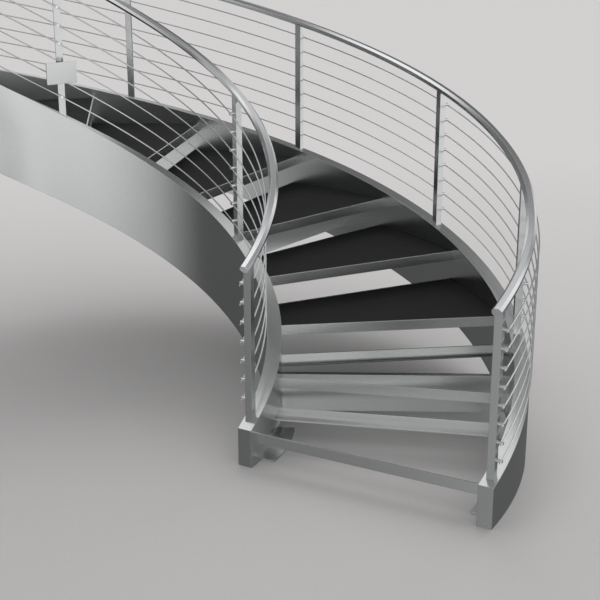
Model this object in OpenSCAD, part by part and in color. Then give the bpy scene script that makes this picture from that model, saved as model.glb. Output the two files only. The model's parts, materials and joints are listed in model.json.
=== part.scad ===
// Curved steel staircase, a half turn to the left in ten open steps.
//
// Two deep box stringers wind up round one vertical axis. Each step is a pair
// of folded steel bars between them, which hold a dark panel in a shallow tray.
// The two lowest steps are bare frames. Cross beams tie the stringers, square
// posts stand on them, and thin round rods run past the posts below a handrail.
//
// Angles are measured round the stair's axis from the front of the first step.
// The origin is on the floor, under the middle of the outer stringer at that
// angle. +X points away from the stair's axis and +Y is the way up.

/* [Steps] */
// Height of one rise
rise = 180; // [150:1:200]
// Turn of one step round the stair's axis, in degrees
step_turn = 17.8; // [14:0.1:18]
// Number of steps
step_count = 10; // [6:1:12]
// Lowest step that has a panel in its frame
first_panel = 3; // [1:1:6]

/* [Stringers] */
// Radius to the middle of the inner stringer
inner_r = 1042; // [860:1:1300]
// Clear width between the two stringers
clear_w = 1260; // [1000:1:1550]
// Thickness of a stringer
stringer_t = 80; // [60:1:96]
// Depth of a stringer, measured square to its slope
stringer_depth = 476; // [390:1:570]
// Height of a stringer's top above the line of the step fronts
stringer_up = 58; // [30:1:90]
// How far the inner stringer runs on past the first front and the last back
inner_run_on = 49; // [38:1:80]
// How far the outer stringer runs on past them
outer_run_on = 79; // [60:1:120]
// Number of lengths that a stringer is welded from
stringer_lengths = 10; // [6:1:12]

/* [Step frames] */
// Height of a front bar
front_h = 57; // [46:1:68]
// Thickness of a front bar
front_t = 10; // [8:1:14]
// Depth of the tray that takes a panel
tray_depth = 28; // [20:1:34]
// Thickness of the folded sheet of the ledges
sheet_t = 8; // [6:1:10]
// Width of the ledge on a front bar
front_ledge = 50; // [30:1:60]
// Width of the ledge on a rear bar
rear_ledge = 100; // [60:1:120]
// How far a rear bar stands behind the front of the next step
tuck = 24; // [18:1:36]
// Drop of a panel and a rear bar below the top of the front bar
panel_drop = 3; // [1:1:5]
// Play round a panel
panel_play = 1; // [0.5:0.1:2]

/* [Cross beams] */
// Lowest step with a cross beam
beam_first = 2; // [1:1:4]
// Steps from one cross beam to the next
beam_every = 3; // [2:1:4]
// Height of a cross beam
beam_h = 215; // [170:1:250]
// Thickness of a cross beam
beam_t = 42; // [30:1:52]

/* [Foot angles] */
// Height of the leg on the stringer
angle_h = 100; // [80:1:120]
// Width of the leg on the floor
angle_w = 75; // [60:1:90]
// Thickness of both legs
angle_t = 8; // [6:1:10]
// Distance from a stringer's front end to its foot angle
angle_back = 110; // [80:1:140]
// Turn of a foot angle round the stair's axis, in degrees
angle_turn = 22; // [14:1:23]

/* [Posts] */
// Side of a square post
post_w = 40; // [32:1:48]
// Number of outer posts
outer_posts = 7; // [5:1:8]
// Angle of the first outer post
outer_post_first = -0.2; // [-0.6:0.1:0.4]
// Angle of the first inner post
inner_post_first = 0.8; // [0.4:0.1:1.4]
// Turn between two inner posts, except the last two
inner_post_turn = 65.4; // [50:0.1:80]
// Turn of both last posts back from the last step's rear edge
last_post_back = 0.4; // [0:0.1:1]

/* [Handrails] */
// Height of the middle of a handrail above the line of the step fronts
rail_up = 912; // [800:1:1050]
// Width of a handrail
rail_w = 52; // [44:1:60]
// Height of a handrail, square to its slope
rail_h = 42; // [36:1:50]
// Leg of the flat that cuts off each corner of a handrail's section
rail_corner = 13; // [6:1:16]
// How far a handrail runs past the middle of its end post
rail_past = 45; // [34:1:60]
// Number of lengths that a handrail is welded from
rail_lengths = 8; // [6:1:12]

/* [Rods] */
// Diameter of a rod
rod_d = 8; // [6:1:10]
// Distance from a post's face to the middle of a rod
rod_off = 24; // [20:1:32]
// Number of outer rods
outer_rods = 8; // [6:1:8]
// Height of the lowest outer rod above the line of the step fronts
outer_rod_first = 153; // [130:1:180]
// Spacing of the outer rods
outer_rod_gap = 94; // [80:1:98]
// Number of inner rods
inner_rods = 7; // [5:1:7]
// Height of the lowest inner rod above the line of the step fronts
inner_rod_first = 169; // [140:1:190]
// Spacing of the inner rods
inner_rod_gap = 105; // [90:1:108]
// How far a rod's end runs past the middle of its end post
rod_past = 20; // [14:1:30]
// Diameter of a rod holder's stem
stem_d = 18; // [15:1:22]
// How far a stem runs past the middle of its rod
stem_past = 6.5; // [5:0.5:9]
// Width of the chamfer round a stem's end
stem_chamfer = 1.5; // [0.5:0.5:2.5]

/* [Slab bracket] */
// Width of the bracket's plate
plate_w = 190; // [150:1:230]
// Height of the bracket's plate
plate_h = 126; // [100:1:150]
// Thickness of the bracket's plate
plate_t = 10; // [8:1:14]
// Turn of the plate away from the line of the stair
plate_turn = 22; // [0:1:30]
// Height of the plate's middle above the line of the step fronts
plate_up = 322; // [300:1:345]
// Side of the square bar between the post and the plate
arm_w = 40; // [30:1:44]
// Least distance from a rod to the plate
plate_clear = 16; // [10:1:40]

/* [Hidden] */
// Gap left where two pieces are welded, so that no two solids overlap
weld_gap = 0.2;
// Least width of the raised parts of a post's head
least_lip = 1;
// Stretches that a stringer or handrail has over one step
per_step = 10;
// Stretches that a rod has over one outer bay or one inner bay
per_bay = 8;
per_inner_bay = 12;
// Sides of a rod's section
rod_sides = 6;

outer_r = inner_r + stringer_t + clear_w;
walk_in = inner_r + stringer_t / 2;
walk_out = outer_r - stringer_t / 2;
last_post = step_count * step_turn - last_post_back;
outer_post_turn = (last_post - outer_post_first) / (outer_posts - 1);
outer_post_turns = [for (i = [0 : outer_posts - 1]) outer_post_first + i * outer_post_turn];
inner_bays = round((last_post - inner_post_first) / inner_post_turn);
inner_post_turns = concat([for (i = [0 : inner_bays - 1]) inner_post_first + i * inner_post_turn],
                          [last_post]);
outer_rod_r = outer_r + post_w / 2 + rod_off;
inner_rod_r = inner_r - post_w / 2 - rod_off;
outer_rod_ups = [for (i = [0 : outer_rods - 1]) outer_rod_first + i * outer_rod_gap];
inner_rod_ups = [for (i = [0 : inner_rods - 1]) inner_rod_first + i * inner_rod_gap];

steel = [0.70, 0.72, 0.71];
bright_steel = [0.82, 0.83, 0.84];
panel_black = [0.13, 0.13, 0.13];

// Height of the line through the step fronts, at a turn
function front_z(turn) = rise * (turn / step_turn + 1);

// Turn that a length takes up round the circle of radius r, in degrees
function arc(length, r) = length / r * 180 / PI;

// Slope of a helix of radius r, in degrees
function slope(r) = atan2(rise, r * step_turn * PI / 180);

// Height of a stringer measured plumb, at radius r
function plumb_depth(r) = stringer_depth / cos(slope(r));

// Point on the circle of radius r at a turn, at height z
function polar(r, turn, z) = [r * cos(turn), r * sin(turn), z];

// Evenly spaced turns from a to b, n stretches
function turns(a, b, n) = [for (i = [0 : n]) a + (b - a) * i / n];

// Turns of the ends of each of n lengths from a to b, with a weld between them at radius r
function lengths(a, b, n, r) = [for (i = [0 : n - 1])
    [a + (b - a) * i / n + (i > 0 ? arc(weld_gap, r) : 0), a + (b - a) * (i + 1) / n]];

// Stretches that a length of a stringer or handrail is drawn in
function stretches_over(part) = ceil((part[1] - part[0]) / step_turn * per_step);

// Height of a stringer's underside: its slope, or the floor
function under_z(r, turn) = max(0, front_z(turn) + stringer_up - plumb_depth(r));

// Direction of a helix of radius r at a turn
function along(r, turn) = [-sin(turn) * cos(slope(r)), cos(turn) * cos(slope(r)), sin(slope(r))];

// Square to that direction, upwards
function upward(r, turn) = [sin(turn) * sin(slope(r)), -cos(turn) * sin(slope(r)), cos(slope(r))];

// Point on the helix of radius r, at height up above the line of the step fronts
function on_helix(r, turn, up) = polar(r, turn, front_z(turn) + up);

// A section [across, upwards] placed square to the helix at a centre point
function placed(section, centre, r, turn) =
    [for (p = section) centre + p[0] * [cos(turn), sin(turn), 0] + p[1] * upward(r, turn)];

// Faces of a tube of rings with n corners each, closed at both ends
function tube_faces(rings, n) = concat(
    [[for (k = [n - 1 : -1 : 0]) k]],
    [for (i = [0 : rings - 2]) for (k = [0 : n - 1])
        [i * n + k, i * n + (k + 1) % n, (i + 1) * n + (k + 1) % n, (i + 1) * n + k]],
    [[for (k = [0 : n - 1]) (rings - 1) * n + k]]);

module tube_through(rings) {
    n = len(rings[0]);
    polyhedron(points = [for (ring = rings) each ring], faces = tube_faces(len(rings), n),
               convexity = 10);
}

// Everything is drawn round the stair's axis, then moved to the part's origin
module round_axis() {
    translate([-outer_r, 0, 0]) children();
}

// Box stringer round radius r, flat on the floor where it starts
module stringer(r, run_on) {
    a = r - stringer_t / 2;
    b = r + stringer_t / 2;
    end_turn = step_count * step_turn + arc(run_on, r);
    for (part = lengths(-arc(run_on, r), end_turn, stringer_lengths, a))
        tube_through([for (t = turns(part[0], part[1], stretches_over(part)))
            let (low = under_z(r, t), high = front_z(t) + stringer_up)
            [polar(a, t, low), polar(b, t, low), polar(b, t, high), polar(a, t, high)]]);
}

// The ring-shaped space between the stringers, from height z up to z + h
module between_stringers(z, h, play) {
    flat_side = cos(step_turn / per_step / 2);
    translate([0, 0, z]) difference() {
        cylinder(r = walk_out * flat_side - play, h = h, $fn = 180);
        translate([0, 0, -1]) cylinder(r = walk_in + play, h = h + 2, $fn = 180);
    }
}

// Bar of an outline [back from the front line, height] that lies along a radius
module radial_bar(turn, z, outline) {
    rotate([0, 0, turn]) translate([0, 0, z])
        rotate([90, 0, 90]) linear_extrude(outer_r) polygon(outline);
}

module step_frame(k) {
    turn = (k - 1) * step_turn;
    top = k * rise;
    low = -tray_depth - sheet_t;
    color(steel) intersection() {
        between_stringers(top - front_h - 1, front_h + 2, weld_gap);
        union() {
            radial_bar(turn, top, [[0, -front_h], [front_t, -front_h], [front_t, low],
                [front_t + front_ledge, low], [front_t + front_ledge, -tray_depth],
                [front_t, -tray_depth], [front_t, 0], [0, 0]]);
            radial_bar(turn + step_turn, top, [[tuck - rear_ledge, low], [tuck + sheet_t, low],
                [tuck + sheet_t, -panel_drop], [tuck, -panel_drop],
                [tuck, -tray_depth], [tuck - rear_ledge, -tray_depth]]);
        }
    }
}

// Panel of a step: a wedge between the two bars and the two stringers
module step_panel(k) {
    front = front_t + panel_play;
    back = tuck - panel_play;
    thick = tray_depth - panel_drop - weld_gap;
    far = outer_r;
    turn = step_turn;
    color(panel_black) rotate([0, 0, (k - 1) * step_turn])
        translate([0, 0, k * rise - panel_drop - thick]) intersection() {
            between_stringers(0, thick, panel_play);
            linear_extrude(thick) polygon([
                [0, front], [far, front],
                [far * cos(turn) - back * sin(turn), far * sin(turn) + back * cos(turn)],
                [-back * sin(turn), back * cos(turn)]]);
        }
}

module cross_beams() {
    color(steel) for (k = [beam_first : beam_every : step_count]) {
        top = k * rise - tray_depth - sheet_t;
        intersection() {
            between_stringers(top - beam_h, beam_h, weld_gap);
            radial_bar((k - 0.5) * step_turn, top - beam_h,
                [[-beam_t / 2, 0], [beam_t / 2, 0], [beam_t / 2, beam_h], [-beam_t / 2, beam_h]]);
        }
    }
}

// Turn where a foot angle ends. It stops short of the lowest cross beam where that comes
// down beside it.
function angle_end(first, least_r) = let (
    beam_low = beam_first * rise - tray_depth - sheet_t - beam_h,
    beam_front = (beam_first - 0.5) * step_turn - asin((beam_t / 2 + weld_gap) / least_r))
    beam_low > angle_h + weld_gap ? first + angle_turn : min(first + angle_turn, beam_front);

// Angle bent along the stringer, one leg on it and one on the floor.
// side is 1 where the stair lies outside the stringer and -1 where inside it.
module foot_angle(r, run_on, side) {
    first = arc(angle_back - run_on, r);
    flat_side = side > 0 ? 1 : cos(step_turn / per_step / 2);
    wall = (r + side * stringer_t / 2) * flat_side + side * weld_gap;
    last = angle_end(first, side > 0 ? wall : wall - angle_w);
    color(steel) rotate([0, 0, first]) rotate_extrude(angle = last - first, $fn = 180)
        polygon([[wall, 0], [wall + side * angle_w, 0], [wall + side * angle_w, angle_t],
                 [wall + side * angle_t, angle_t], [wall + side * angle_t, angle_h],
                 [wall, angle_h]]);
}

// Gap at both ends of a post. A stringer and a handrail twist, and across a post their flat
// stretches stray this far from the true helix.
function post_gap(r) = max(2 * weld_gap, rise / (step_turn * PI / 180) *
    (pow(post_w / 2 / r, 2) + stringer_t / r / 4 * step_turn / per_step * PI / 180));

// Post on a stringer, cut to the slope at its foot and shaped to the handrail at its head
module post(r, turn) {
    half = post_w / 2;
    flat = min(rail_w / 2 - rail_corner, half - least_lip);
    plan = [[-half, -half], [-flat, -half], [flat, -half], [half, -half],
            [half, half], [flat, half], [-flat, half], [-half, half]];
    foot = stringer_up + post_gap(r);
    head = rail_up - rail_h / 2 / cos(slope(r)) - post_gap(r);
    line_at = function (p) front_z(turn + atan2(p[1], r + p[0]));
    low = [for (p = plan) [p[0], p[1], line_at(p) + foot]];
    high = [for (p = plan)
        [p[0], p[1], line_at(p) + head + max(0, abs(p[0]) - flat) / cos(slope(r))]];
    n = len(plan);
    sides = [for (i = [0 : n - 1]) [i, n + i, n + (i + 1) % n, (i + 1) % n]];
    top = [[7, 6, 1, 0], [6, 5, 2, 1], [5, 4, 3, 2]];
    color(steel) rotate([0, 0, turn]) translate([r, 0, 0])
        polyhedron(points = concat(low, high),
                   faces = concat([[for (i = [0 : n - 1]) i]], sides,
                                  [for (f = top) [for (i = f) i + n]]));
}

// Handrail with an eight-sided section: a flat top and flat cut corners
module handrail(r, post_turns) {
    from = post_turns[0] - arc(rail_past, r);
    to = post_turns[len(post_turns) - 1] + arc(rail_past, r);
    a = rail_w / 2;
    b = rail_h / 2;
    c = rail_corner;
    section = [[a - c, b], [c - a, b], [-a, b - c], [-a, c - b],
               [c - a, -b], [a - c, -b], [a, c - b], [a, b - c]];
    color(bright_steel) for (part = lengths(from, to, rail_lengths, r - a))
        tube_through([for (t = turns(part[0], part[1], stretches_over(part)))
            placed(section, on_helix(r, t, rail_up), r, t)]);
}

// Rods from one post to the next, each ending against the stems there
module rods_bay(r, from_turn, to_turn, ups, stretches) {
    section = [for (i = [0 : rod_sides - 1]) rod_d / 2 * [cos(i * 360 / rod_sides),
                                                        sin(i * 360 / rod_sides)]];
    inside = turns(from_turn, to_turn, stretches);
    short = stem_d / 2 + weld_gap;
    color(bright_steel) for (up = ups) tube_through(concat(
        [placed(section, on_helix(r, from_turn, up) + short * along(r, from_turn), r, from_turn)],
        [for (i = [1 : stretches - 1]) placed(section, on_helix(r, inside[i], up), r, inside[i])],
        [placed(section, on_helix(r, to_turn, up) - short * along(r, to_turn), r, to_turn)]));
}

module outer_bay(i) {
    rods_bay(outer_rod_r, outer_post_turns[i - 1], outer_post_turns[i], outer_rod_ups, per_bay);
}

module inner_bay(i) {
    rods_bay(inner_rod_r, inner_post_turns[i - 1], inner_post_turns[i], inner_rod_ups,
             per_inner_bay);
}

// Stem that holds a rod on the far side of a post; side as in foot_angle. The rod runs through
// it, and its end shows past the stem where ending is -1, at the foot, or 1, at the top.
module rod_holder(rod_r, turn, up, side, ending) {
    a = stem_d / 2;
    l = rod_off + stem_past;
    color(bright_steel) rotate([0, 0, turn]) translate([rod_r, 0, front_z(turn) + up]) {
        rotate([0, side * 90, 0]) translate([0, 0, -rod_off]) rotate_extrude($fn = 32)
            polygon([[0, 0], [a, 0], [a, l - stem_chamfer], [a - stem_chamfer, l], [0, l]]);
        if (ending != 0)
            rotate([slope(rod_r) - 90, 0, 0]) translate([0, 0, min(0, ending) * rod_past])
                cylinder(d = rod_d, h = rod_past, $fn = 24);
    }
}

// The stems on a row of posts
module rod_holders(rod_r, post_turns, ups, side) {
    last = len(post_turns) - 1;
    for (i = [0 : last]) for (up = ups)
        rod_holder(rod_r, post_turns[i], up, side, i == 0 ? -1 : i == last ? 1 : 0);
}

// Plate for the edge of the floor slab, on the last inner post before the top one.
// Its arm passes between the second and the third rod.
module slab_bracket() {
    turn = inner_post_turns[inner_bays - 1];
    plate_back = rod_off + rod_d / 2 + plate_clear + plate_w / 2 * sin(plate_turn);
    reach = plate_back + plate_w;
    arm_up = inner_rod_first + 1.5 * inner_rod_gap;
    color(steel) rotate([0, 0, turn])
        translate([inner_r - post_w / 2 - plate_back, 0, front_z(turn)]) {
            rotate([0, 0, plate_turn])
                translate([-plate_t, -plate_w / 2, plate_up - plate_h / 2])
                    cube([plate_t, plate_w, plate_h]);
            difference() {
                translate([-plate_w, -arm_w / 2, arm_up - arm_w / 2])
                    cube([reach - weld_gap, arm_w, arm_w]);
                rotate([0, 0, plate_turn]) translate([-2 * reach - plate_t / 2, -reach, 0])
                    cube([2 * reach, 2 * reach, arm_up + arm_w]);
            }
        }
}

round_axis() color(steel) stringer(inner_r, inner_run_on);  // inner_stringer
round_axis() color(steel) stringer(outer_r, outer_run_on);  // outer_stringer
for (k = [1 : step_count])
    round_axis() step_frame(k);
for (k = [first_panel : step_count])
    round_axis() step_panel(k);
round_axis() cross_beams();
round_axis() foot_angle(inner_r, inner_run_on, 1);  // inner_foot_angle
round_axis() foot_angle(outer_r, outer_run_on, -1);  // outer_foot_angle
round_axis() for (t = inner_post_turns) post(inner_r, t);  // inner_posts
round_axis() for (t = outer_post_turns) post(outer_r, t);  // outer_posts
round_axis() handrail(inner_r, inner_post_turns);  // inner_handrail
round_axis() handrail(outer_r, outer_post_turns);  // outer_handrail
for (i = [1 : inner_bays])
    round_axis() inner_bay(i);
for (i = [1 : outer_posts - 1])
    round_axis() outer_bay(i);
round_axis() rod_holders(inner_rod_r, inner_post_turns, inner_rod_ups, -1);  // inner_rod_holders
round_axis() rod_holders(outer_rod_r, outer_post_turns, outer_rod_ups, 1);  // outer_rod_holders
round_axis() slab_bracket();
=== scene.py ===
"""Looks of a curved steel staircase: fine meshes, procedural materials, floor, light and camera.

Every length is in metres and every turn in radians. Turns are measured round the stair's axis from
the front of the first step, and the origin lies under the middle of the outer stringer there.
"""
import json
from math import atan, ceil, cos, pi, radians, sin

import bmesh
import bpy
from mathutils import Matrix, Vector


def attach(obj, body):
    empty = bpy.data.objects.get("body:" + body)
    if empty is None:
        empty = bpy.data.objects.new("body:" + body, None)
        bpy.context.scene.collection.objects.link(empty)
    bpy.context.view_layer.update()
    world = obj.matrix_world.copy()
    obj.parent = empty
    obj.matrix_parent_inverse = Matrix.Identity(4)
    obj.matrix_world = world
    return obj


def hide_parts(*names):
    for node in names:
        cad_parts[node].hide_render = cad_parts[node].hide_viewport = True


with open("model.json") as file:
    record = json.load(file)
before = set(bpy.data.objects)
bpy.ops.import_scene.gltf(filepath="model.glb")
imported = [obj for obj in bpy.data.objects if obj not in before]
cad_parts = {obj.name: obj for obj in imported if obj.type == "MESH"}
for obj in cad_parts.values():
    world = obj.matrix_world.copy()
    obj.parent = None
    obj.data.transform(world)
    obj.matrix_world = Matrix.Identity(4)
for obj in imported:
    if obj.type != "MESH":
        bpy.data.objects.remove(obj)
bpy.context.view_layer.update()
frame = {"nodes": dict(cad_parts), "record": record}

# Sizes of the stair
RISE = 0.180
STEP_TURN = radians(17.8)
STEPS = 10
INNER_R = 1.042
OUTER_R = 2.382
STRINGER_T = 0.080
STRINGER_DEPTH = 0.476
STRINGER_UP = 0.058
INNER_RUN_ON = 0.049
OUTER_RUN_ON = 0.079
FIRST_PANEL = 3
POST_W = 0.040
OUTER_POSTS = 7
OUTER_POST_FIRST = radians(-0.2)
INNER_POST_FIRST = radians(0.8)
INNER_POST_TURN = radians(65.4)
LAST_POST_BACK = radians(0.4)
RAIL_UP = 0.912
RAIL_W = 0.052
RAIL_H = 0.042
RAIL_CORNER = 0.013
RAIL_PAST = 0.045
ROD_D = 0.008
ROD_OFF = 0.024
OUTER_ROD_UPS = [0.153 + 0.094 * i for i in range(8)]
INNER_ROD_UPS = [0.169 + 0.105 * i for i in range(7)]
ROD_PAST = 0.020
STEM_D = 0.018
STEM_PAST = 0.0065
STEM_CHAMFER = 0.0015
ROD_LET_IN = 0.001
ANGLE_H = 0.100
ANGLE_W = 0.075
ANGLE_T = 0.008
ANGLE_BACK = 0.110
ANGLE_TURN = radians(22)
WELD_GAP = 0.0002

# Radii of the rounded edges
STRINGER_EDGE = 0.0012
RAIL_EDGE = 0.0020
ANGLE_EDGE = 0.001
FRAME_EDGE = 0.0008
PANEL_EDGE = 0.0010
POST_EDGE = 0.0010
BEAM_EDGE = 0.0015
BRACKET_EDGE = 0.0012
ROD_EDGE = 0.0012

# Fineness of the meshes
RING_TURN = radians(1.0)
ROD_RING_TURN = radians(1.5)
ROD_SIDES = 14
HOLDER_SIDES = 24
CORNER_STEPS = 3
ANGLE_END_STEPS = 2
BEVEL_STEPS = 2

# Share of a section's side that the arc at one corner may take
CORNER_SHARE = 0.49

# Flat stretches of the CAD's stringers in one step
CAD_STRETCHES = 10

# How the CAD's faces are made whole, and which edges are rounded or drawn sharp
MERGE_DISTANCE = 0.00002
FLAT_ANGLE = radians(0.6)
BEVEL_ANGLE = radians(28)
SHARP_ANGLE = radians(32)

# Heights of the bumps in the steel and in the panels
RIPPLE_DEPTH = 0.0004
PEBBLE_DEPTH = 0.0005

# Floor: flat as far as FLOOR_FLAT, then curved up to FLOOR_LIFT at FLOOR_REACH
FLOOR_FLAT = 45.0
FLOOR_REACH = 150.0
FLOOR_LIFT = 18.0
FLOOR_SIDES = 64
FLOOR_RINGS = 12
FLOOR_DROP = 0.0005

# Level direction from the camera's side of the stair to the far side, along which the floor's
# painted light grows
AWAY = (-0.47, 0.88, 0.0)

# Strength of the studio's panels, and how far off the lamps stand
WALL_LEVEL = 0.99
BACK_LEVEL = 0.80
GROUND_LEVEL = 0.28
LAMP_DISTANCE = 10

LAST_POST = STEPS * STEP_TURN - LAST_POST_BACK
OUTER_POST_TURN = (LAST_POST - OUTER_POST_FIRST) / (OUTER_POSTS - 1)
OUTER_POST_TURNS = [OUTER_POST_FIRST + i * OUTER_POST_TURN for i in range(OUTER_POSTS)]
INNER_BAYS = round((LAST_POST - INNER_POST_FIRST) / INNER_POST_TURN)
INNER_POST_TURNS = [INNER_POST_FIRST + i * INNER_POST_TURN for i in range(INNER_BAYS)] + [LAST_POST]
OUTER_ROD_R = OUTER_R + POST_W / 2 + ROD_OFF
INNER_ROD_R = INNER_R - POST_W / 2 - ROD_OFF


# ---- the helix ----

def front_z(turn):
    """Height of the line through the step fronts."""
    return RISE * (turn / STEP_TURN + 1)


def slope(r):
    return atan(RISE / (r * STEP_TURN))


def polar(r, turn, z):
    return Vector((r * cos(turn) - OUTER_R, r * sin(turn), z))


def outward(turn):
    return Vector((cos(turn), sin(turn), 0))


def along(r, turn):
    s = slope(r)
    return Vector((-sin(turn) * cos(s), cos(turn) * cos(s), sin(s)))


def upward(r, turn):
    s = slope(r)
    return Vector((sin(turn) * sin(s), -cos(turn) * sin(s), cos(s)))


def turns(a, b, widest):
    count = ceil((b - a) / widest)
    return [a + (b - a) * i / count for i in range(count + 1)]


# ---- meshes ----

def circle(radius, sides):
    return [(radius * cos(2 * pi * k / sides), radius * sin(2 * pi * k / sides))
            for k in range(sides)]


def rounded(outline, radius):
    """The outline with an arc of that radius in place of each corner."""
    points = []
    for i, corner in enumerate(outline):
        here = Vector(corner)
        back = Vector(outline[i - 1]) - here
        ahead = Vector(outline[(i + 1) % len(outline)]) - here
        half = back.angle(ahead) / 2
        cut = min(radius / abs(sin(half) / cos(half)),
                  CORNER_SHARE * min(back.length, ahead.length))
        a = here + back.normalized() * cut
        b = here + ahead.normalized() * cut
        for k in range(CORNER_STEPS + 1):
            t = k / CORNER_STEPS
            points.append(a * (1 - t) ** 2 + here * 2 * t * (1 - t) + b * t ** 2)
    return points


def inset(section, by):
    """The section drawn in towards its middle by that much on every side."""
    low = [min(p[i] for p in section) for i in (0, 1)]
    high = [max(p[i] for p in section) for i in (0, 1)]
    mid = Vector([(low[i] + high[i]) / 2 for i in (0, 1)])
    scale = [1 - 2 * by / (high[i] - low[i]) for i in (0, 1)]
    return [Vector(mid[i] + (p[i] - mid[i]) * scale[i] for i in (0, 1)) for p in section]


def rings_between(start, end, stops, r, edge, ring, steps=CORNER_STEPS):
    """Rings at the stops, and rings drawn in round an edge of that radius at both ends."""
    angles = [pi / 2 * k / steps for k in range(steps + 1)]
    ends = sorted((edge * (1 - sin(a)) / r, edge * (1 - cos(a))) for a in angles)
    reach = ends[-1][0]
    rings = [ring(start + back, drawn_in) for back, drawn_in in ends]
    rings += [ring(turn, 0.0) for turn in stops if start + reach < turn < end - reach]
    rings += [ring(end - back, drawn_in) for back, drawn_in in reversed(ends)]
    return rings


def tube(rings):
    """A bmesh through rings of points, closed by one face at each end."""
    bm = bmesh.new()
    rows = [[bm.verts.new(p) for p in ring] for ring in rings]
    n = len(rows[0])
    for a, b in zip(rows, rows[1:]):
        for k in range(n):
            bm.faces.new((a[k], a[(k + 1) % n], b[(k + 1) % n], b[k]))
    bm.faces.new(list(reversed(rows[0])))
    bm.faces.new(rows[-1])
    return bm


def turned(profile, centre, axis, side):
    """A body turned round an axis, from [(distance along, radius)], with flat ends."""
    third = axis.cross(side)
    return tube([[centre + axis * d + (side * x + third * y) * radius
                  for x, y in circle(1, HOLDER_SIDES)] for d, radius in profile])


def joined(parts):
    """One bmesh out of several."""
    whole = bmesh.new()
    for part in parts:
        mesh = bpy.data.meshes.new("part")
        part.to_mesh(mesh)
        part.free()
        whole.from_mesh(mesh)
        bpy.data.meshes.remove(mesh)
    return whole


def made(name, bm):
    """A new object from the bmesh, with smooth faces that keep its sharp edges."""
    bmesh.ops.recalc_face_normals(bm, faces=bm.faces)
    for face in bm.faces:
        face.smooth = True
    for edge in bm.edges:
        edge.smooth = edge.calc_face_angle(0) < SHARP_ANGLE
    mesh = bpy.data.meshes.new(name)
    bm.to_mesh(mesh)
    bm.free()
    piece = bpy.data.objects.new(name, mesh)
    bpy.context.scene.collection.objects.link(piece)
    normals = piece.modifiers.new("normals", "WEIGHTED_NORMAL")
    normals.keep_sharp = True
    normals.weight = 100
    return piece


def refined(node, width):
    """A copy of a CAD node with its flat faces made whole and its sharp edges rounded."""
    bm = bmesh.new()
    bm.from_mesh(frame["nodes"][node].data)
    bmesh.ops.remove_doubles(bm, verts=bm.verts, dist=MERGE_DISTANCE)
    bmesh.ops.dissolve_limit(bm, angle_limit=FLAT_ANGLE, verts=bm.verts, edges=bm.edges)
    sharp = [e for e in bm.edges if len(e.link_faces) == 2 and e.calc_face_angle(0) > BEVEL_ANGLE]
    bmesh.ops.bevel(bm, geom=sharp, offset=width, segments=BEVEL_STEPS, profile=0.5,
                    affect="EDGES", clamp_overlap=True)
    return bm


# ---- pieces ----

def stringer(r, run_on):
    """Box stringer: plumb sections with rounded corners, flat on the floor where it starts."""
    depth = STRINGER_DEPTH / cos(slope(r))
    start, end = -run_on / r, STEPS * STEP_TURN + run_on / r
    lift_off = STEP_TURN * ((depth - STRINGER_UP) / RISE - 1)
    stops = turns(start, lift_off, RING_TURN) + turns(lift_off, end, RING_TURN)[1:]

    def section(turn):
        low = max(0, front_z(turn) + STRINGER_UP - depth)
        high = front_z(turn) + STRINGER_UP
        a, b = -STRINGER_T / 2, STRINGER_T / 2
        return rounded([(a, low), (b, low), (b, high), (a, high)], STRINGER_EDGE)

    def ring(turn, drawn_in):
        return [polar(r + p[0], turn, p[1]) for p in inset(section(turn), drawn_in)]

    return tube(rings_between(start, end, stops, r, STRINGER_EDGE, ring))


def on_helix(section, r, turn, up):
    """A section [across, upwards] placed square to the helix."""
    centre = polar(r, turn, front_z(turn) + up)
    return [centre + outward(turn) * p[0] + upward(r, turn) * p[1] for p in section]


def handrail(r, post_turns):
    """Eight-sided rail with rounded corners and end edges."""
    a, b, c = RAIL_W / 2, RAIL_H / 2, RAIL_CORNER
    section = rounded([(a - c, b), (c - a, b), (-a, b - c), (-a, c - b),
                       (c - a, -b), (a - c, -b), (a, c - b), (a, b - c)], RAIL_EDGE)
    start, end = post_turns[0] - RAIL_PAST / r, post_turns[-1] + RAIL_PAST / r

    def ring(turn, drawn_in):
        return on_helix(inset(section, drawn_in), r, turn, RAIL_UP)

    return tube(rings_between(start, end, turns(start, end, RING_TURN), r, RAIL_EDGE, ring))


def rods(r, first, last, ups):
    """The rods of one bay, each let a little way into the stems at its ends."""
    section = circle(ROD_D / 2, ROD_SIDES)
    short = (STEM_D / 2 - ROD_LET_IN) / r
    bay = turns(first + short, last - short, ROD_RING_TURN)
    return joined([tube([on_helix(section, r, turn, up) for turn in bay]) for up in ups])


def rod_holder(rod_r, turn, up, side, ending):
    """A stem with a rounded end, and the rod's end past it where ending is -1 or 1."""
    centre = polar(rod_r, turn, front_z(turn) + up)
    way, out = along(rod_r, turn), outward(turn)
    stem_r, length = STEM_D / 2, ROD_OFF + STEM_PAST
    angles = [pi / 2 * i / CORNER_STEPS for i in range(CORNER_STEPS, -1, -1)]
    nose = [(length - STEM_CHAMFER * (1 - cos(a)), stem_r - STEM_CHAMFER * (1 - sin(a)))
            for a in angles]
    stem = turned([(0, stem_r)] + nose, centre - out * side * ROD_OFF, out * side, way)
    if ending == 0:
        return [stem]
    tip_r, edge = ROD_D / 2, ROD_EDGE
    tip = [(0, tip_r), (ROD_PAST - edge, tip_r), (ROD_PAST - edge / 4, tip_r - edge / 4),
           (ROD_PAST, tip_r - edge)]
    return [stem, turned(tip, centre, way * ending, out)]


def rod_holders(rod_r, post_turns, ups, side):
    """side is 1 where the rods run outside the posts and -1 where inside."""
    endings = [-1] + [0] * (len(post_turns) - 2) + [1]
    return joined([part for turn, ending in zip(post_turns, endings) for up in ups
                   for part in rod_holder(rod_r, turn, up, side, ending)])


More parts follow.
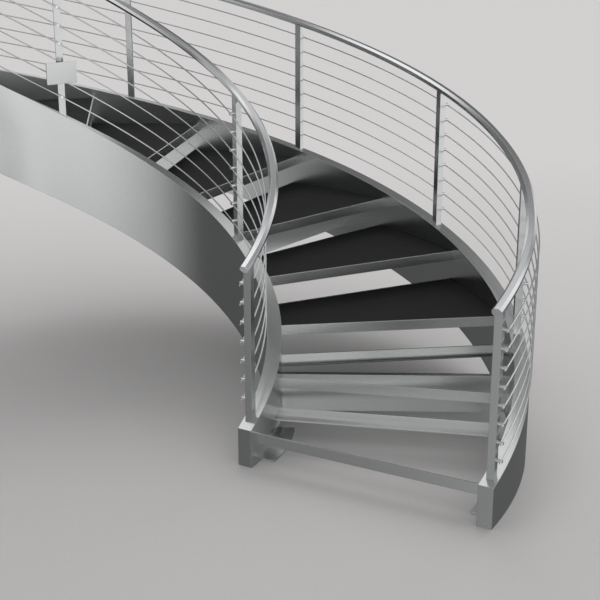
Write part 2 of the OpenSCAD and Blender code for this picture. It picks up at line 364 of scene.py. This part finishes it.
def foot_angle(r, run_on, side):
    """Angle bent along a stringer. side is 1 where it lies outside it and -1 where inside.

    The CAD's stringer comes a little nearer to the axis in the middle of its flat stretches.
    """
    start = (ANGLE_BACK - run_on) / r
    end = start + ANGLE_TURN
    flat_side = 1 if side > 0 else cos(STEP_TURN / CAD_STRETCHES / 2)
    wall = (r + side * STRINGER_T / 2) * flat_side + side * WELD_GAP
    outline = [(0, 0), (ANGLE_W, 0), (ANGLE_W, ANGLE_T), (ANGLE_T, ANGLE_T),
               (ANGLE_T, ANGLE_H), (0, ANGLE_H)]
    section = rounded(outline, ANGLE_EDGE)

    def ring(turn, drawn_in):
        return [polar(wall + side * p[0], turn, p[1]) for p in inset(section, drawn_in)]

    return tube(rings_between(start, end, turns(start, end, RING_TURN), r, ANGLE_EDGE, ring,
                              ANGLE_END_STEPS))


# ---- materials ----

class Nodes:
    """Short ways to build a node tree."""

    def __init__(self, tree):
        self.tree = tree
        tree.nodes.clear()

    def add(self, kind, inputs=None, **settings):
        node = self.tree.nodes.new(kind)
        for key, value in settings.items():
            setattr(node, key, value)
        for key, value in (inputs or {}).items():
            if isinstance(value, bpy.types.NodeSocket):
                self.tree.links.new(value, node.inputs[key])
            else:
                node.inputs[key].default_value = value
        return node

    def noise(self, at, scale, detail=2.0, roughness=0.5):
        return self.add("ShaderNodeTexNoise", {"Vector": at, "Scale": scale, "Detail": detail,
                                               "Roughness": roughness}).outputs["Fac"]

    def spread(self, value, low, high, start=0.3, stop=0.7):
        """value from start to stop, mapped to low to high."""
        return self.add("ShaderNodeMapRange", {
            "Value": value, "From Min": start, "From Max": stop,
            "To Min": low, "To Max": high}).outputs["Result"]

    def smooth(self, value, start, full, kind="SMOOTHSTEP"):
        """0 at start to 1 at full, with soft ends unless kind is LINEAR."""
        return self.add("ShaderNodeMapRange", {
            "Value": value, "From Min": start, "From Max": full},
            interpolation_type=kind).outputs["Result"]

    def math(self, operation, *values):
        return self.add("ShaderNodeMath", dict(enumerate(values)), operation=operation).outputs[0]

    def tinted(self, colour, by):
        """A plain colour times a value."""
        mix = self.add("ShaderNodeMix", {6: (*colour, 1.0), 7: by, 0: 1.0},
                       data_type="RGBA", blend_type="MULTIPLY")
        return mix.outputs[2]


def new_material(name):
    material = bpy.data.materials.new(name)
    material.use_nodes = True
    return material, Nodes(material.node_tree)


def steel_material(name, colour, roughness, grain, wave, bump):
    """Satin steel: a fine even speckle, slow faint changes of tone and a trace of ripple."""
    fine_play, cloud_play = 0.006, 0.004
    material, n = new_material(name)
    at = n.add("ShaderNodeTexCoord").outputs["Object"]
    fine = n.noise(at, scale=150.0, roughness=0.6)
    cloud = n.noise(at, scale=2.5)
    shade = n.math("MULTIPLY", n.spread(fine, 1 - grain, 1 + grain),
                   n.spread(cloud, 1 - wave, 1 + wave))
    rough = n.math("ADD", n.spread(fine, roughness - fine_play, roughness + fine_play),
                   n.spread(cloud, -cloud_play, cloud_play))
    ripple = n.add("ShaderNodeBump", {"Height": n.math("ADD", fine, cloud), "Strength": bump,
                                      "Distance": RIPPLE_DEPTH})
    shader = n.add("ShaderNodeBsdfPrincipled", {
        "Base Color": n.tinted(colour, shade), "Metallic": 1.0, "Roughness": rough,
        "Normal": ripple.outputs["Normal"]})
    n.add("ShaderNodeOutputMaterial", {"Surface": shader.outputs["BSDF"]})
    return material


def panel_material():
    """Dark matt board with a fine pebbled face, a little paler where it is scuffed."""
    material, n = new_material("panel")
    at = n.add("ShaderNodeTexCoord").outputs["Object"]
    pebble = n.noise(at, scale=260.0, detail=4.0, roughness=0.65)
    patch = n.noise(at, scale=7.0, detail=4.0, roughness=0.6)
    shade = n.math("MULTIPLY", n.spread(pebble, 0.72, 1.3), n.spread(patch, 0.9, 1.12))
    raised = n.add("ShaderNodeBump", {"Height": pebble, "Strength": 0.35,
                                      "Distance": PEBBLE_DEPTH})
    shader = n.add("ShaderNodeBsdfPrincipled", {
        "Base Color": n.tinted((0.013, 0.013, 0.0133), shade),
        "Roughness": n.spread(patch, 0.62, 0.72), "Specular IOR Level": 0.12,
        "Normal": raised.outputs["Normal"]})
    n.add("ShaderNodeOutputMaterial", {"Surface": shader.outputs["BSDF"]})
    return material


def floor_material():
    """Pale floor with painted light: its colour grows a little lighter behind the stair than in
    front of it.
    """
    material, n = new_material("floor")
    at = n.add("ShaderNodeTexCoord").outputs["Object"]
    away = n.add("ShaderNodeVectorMath", {0: at, 1: AWAY},
                 operation="DOT_PRODUCT").outputs["Value"]
    # painted light: the floor's colour brightens along AWAY in place of a real change in how it is
    # lit
    shade = n.spread(away, 0.36, 0.525, start=-3.0, stop=8.0)
    speck = n.spread(n.noise(at, scale=60.0), 0.985, 1.015)
    shader = n.add("ShaderNodeBsdfPrincipled", {
        "Base Color": n.tinted((1.0, 0.98, 0.97), n.math("MULTIPLY", shade, speck)),
        "Roughness": 0.8, "Specular IOR Level": 0.2})
    n.add("ShaderNodeOutputMaterial", {"Surface": shader.outputs["BSDF"]})
    return material


SLOT_MATERIALS = {
    "brushed_steel": steel_material("brushed_steel", (0.605, 0.615, 0.61), roughness=0.23,
                                    grain=0.035, wave=0.015, bump=0.02),
    "polished_steel": steel_material("polished_steel", (0.71, 0.72, 0.725), roughness=0.18,
                                     grain=0.02, wave=0.01, bump=0.01),
    "panel": panel_material(),
}
NODE_SLOTS = {part["node"]: part["material_slot"] for part in frame["record"]["subparts"]}


def place(node, bm):
    """Turns the bmesh into the piece that stands for a CAD node."""
    piece = made(f"{node}_fine", bm)
    slot = NODE_SLOTS[node]
    piece.data.materials.append(SLOT_MATERIALS[slot])
    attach(piece, "root")
    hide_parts(node)


place("inner_stringer", stringer(INNER_R, INNER_RUN_ON))
place("outer_stringer", stringer(OUTER_R, OUTER_RUN_ON))
place("inner_handrail", handrail(INNER_R, INNER_POST_TURNS))
place("outer_handrail", handrail(OUTER_R, OUTER_POST_TURNS))
place("inner_foot_angle", foot_angle(INNER_R, INNER_RUN_ON, 1))
place("outer_foot_angle", foot_angle(OUTER_R, OUTER_RUN_ON, -1))
place("inner_rod_holders", rod_holders(INNER_ROD_R, INNER_POST_TURNS, INNER_ROD_UPS, -1))
place("outer_rod_holders", rod_holders(OUTER_ROD_R, OUTER_POST_TURNS, OUTER_ROD_UPS, 1))
for i, bay in enumerate(zip(INNER_POST_TURNS, INNER_POST_TURNS[1:]), 1):
    place(f"inner_rods_bay_{i}", rods(INNER_ROD_R, *bay, INNER_ROD_UPS))
for i, bay in enumerate(zip(OUTER_POST_TURNS, OUTER_POST_TURNS[1:]), 1):
    place(f"outer_rods_bay_{i}", rods(OUTER_ROD_R, *bay, OUTER_ROD_UPS))
for k in range(1, STEPS + 1):
    place(f"step_{k}_frame", refined(f"step_{k}_frame", FRAME_EDGE))
for k in range(FIRST_PANEL, STEPS + 1):
    place(f"step_{k}_panel", refined(f"step_{k}_panel", PANEL_EDGE))
for node, edge in (("cross_beams", BEAM_EDGE), ("inner_posts", POST_EDGE),
                   ("outer_posts", POST_EDGE), ("slab_bracket", BRACKET_EDGE)):
    place(node, refined(node, edge))


# ---- floor, light and camera ----

def floor():
    """Flat round the stair, with a far edge that curves up as a backdrop for low views."""
    points = [(0, 0, 0)]
    for t in (i / FLOOR_RINGS for i in range(FLOOR_RINGS + 1)):
        r = FLOOR_FLAT + (FLOOR_REACH - FLOOR_FLAT) * t
        points += [(r * x, r * y, FLOOR_LIFT * t ** 2) for x, y in circle(1, FLOOR_SIDES)]
    pairs = [(i + 1, (i + 1) % FLOOR_SIDES + 1) for i in range(FLOOR_SIDES)]
    faces = [(0, a, b) for a, b in pairs]
    for low in range(0, FLOOR_RINGS * FLOOR_SIDES, FLOOR_SIDES):
        high = low + FLOOR_SIDES
        faces += [(low + a, high + a, high + b, low + b) for a, b in pairs]
    mesh = bpy.data.meshes.new("floor")
    mesh.from_pydata(points, [], faces)
    mesh.shade_smooth()
    plane = bpy.data.objects.new("floor", mesh)
    plane.location = (0, 0, -FLOOR_DROP)
    mesh.materials.append(floor_material())
    plane.visible_glossy = False
    bpy.context.scene.collection.objects.link(plane)


def sun(name, azimuth, elevation, spread, strength):
    """A wide soft light from far away, from a compass direction and height in degrees."""
    data = bpy.data.lights.new(name, "SUN")
    data.angle, data.energy = radians(spread), strength
    light = bpy.data.objects.new(name, data)
    a, e = radians(azimuth), radians(elevation)
    way = Vector((cos(a) * cos(e), sin(a) * cos(e), sin(e)))
    light.location = way * LAMP_DISTANCE
    light.rotation_euler = way.to_track_quat("Z", "Y").to_euler()
    light.visible_glossy = False
    bpy.context.scene.collection.objects.link(light)


def sky():
    """A studio of large soft panels, each given by its compass direction and its heights.

    wall and side stand to the right, and a dimmer, lower skirt stands in front, on the camera's
    side. back stands low behind the stair, ring hangs high all round, and ground glows from below.
    """
    world = bpy.data.worlds.new("studio")
    bpy.context.scene.world = world
    world.use_nodes = True
    n = Nodes(world.node_tree)
    way = n.add("ShaderNodeTexCoord").outputs["Generated"]
    height = n.add("ShaderNodeSeparateXYZ", {"Vector": way}).outputs["Z"]
    level = n.add("ShaderNodeVectorMath", {0: way, 1: (1, 1, 0)}, operation="MULTIPLY")
    level = n.add("ShaderNodeVectorMath", {0: level.outputs["Vector"]}, operation="NORMALIZE")

    def facing(azimuth, start, full, kind="SMOOTHSTEP"):
        """1 towards a compass direction, 0 away from it, from the cosine start to full."""
        a = radians(azimuth)
        dot = n.add("ShaderNodeVectorMath", {0: level.outputs["Vector"], 1: (cos(a), sin(a), 0)},
                    operation="DOT_PRODUCT").outputs["Value"]
        return n.smooth(dot, start, full, kind)

    def band(low, low_full, high_full, high):
        """1 between two heights, given as elevations in degrees, and 0 beyond soft edges."""
        edges = [sin(radians(e)) for e in (low, low_full, high_full, high)]
        rise = n.smooth(height, edges[0], edges[1])
        fall = n.smooth(height, edges[3], edges[2])
        return n.math("MULTIPLY", rise, fall)

    wall = n.math("MULTIPLY", facing(-35, -0.2, 0.9, "LINEAR"), band(-27, -9.5, 25, 45))
    side = n.math("MULTIPLY", facing(15, 0.56, 0.72), band(-26, -12, 25, 45))
    lobe = n.spread(facing(-88, 0.866, 0.98), 0.15, 0.36)
    low_band = n.math("MULTIPLY", band(-75, -35, 5, 20), lobe)
    skirt = n.math("MULTIPLY", facing(-92, 0.80, 0.92), low_band)
    wall = n.math("MAXIMUM", n.math("MAXIMUM", wall, side), skirt)
    glow = n.math("MAXIMUM", facing(165, 0.42, 0.62),
                  n.math("MULTIPLY", facing(70, 0.85, 0.95), 0.65))
    glow = n.math("MAXIMUM", glow, 0.32)
    ring = n.math("MULTIPLY", glow, band(38, 50, 62, 74))
    back = n.math("MULTIPLY", facing(125, 0.3, 0.7), band(1, 7, 9, 20))
    ambient = n.spread(height, 0.112, 0.21, start=-0.05, stop=0.97)
    ground = n.smooth(height, sin(radians(-36)), sin(radians(-58)))
    ambient = n.math("MULTIPLY_ADD", ground, GROUND_LEVEL, ambient)
    light = n.math("MULTIPLY_ADD", wall, WALL_LEVEL, ambient)
    light = n.math("ADD", ring, light)
    light = n.math("MULTIPLY_ADD", back, BACK_LEVEL, light)
    shader = n.add("ShaderNodeBackground", {"Color": (1.0, 1.0, 1.01, 1), "Strength": light})
    n.add("ShaderNodeOutputWorld", {"Surface": shader.outputs["Background"]})


def camera():
    """The photo's viewing angle, as fitted to the stair."""
    data = bpy.data.cameras.new("camera")
    data.sensor_width = 36.0
    data.lens = 77.81
    data.clip_end = 400.0
    eye = bpy.data.objects.new("camera", data)
    eye.location = (1.838, -5.338, 3.021)
    eye.rotation_euler = (radians(71.20), 0, radians(28.32))
    bpy.context.scene.collection.objects.link(eye)
    bpy.context.scene.camera = eye


floor()
sky()
camera()
sun("dome", azimuth=118, elevation=70, spread=170, strength=1.3)
sun("key", azimuth=108, elevation=33, spread=60, strength=1.7)

bpy.context.scene.view_settings.view_transform = "Standard"
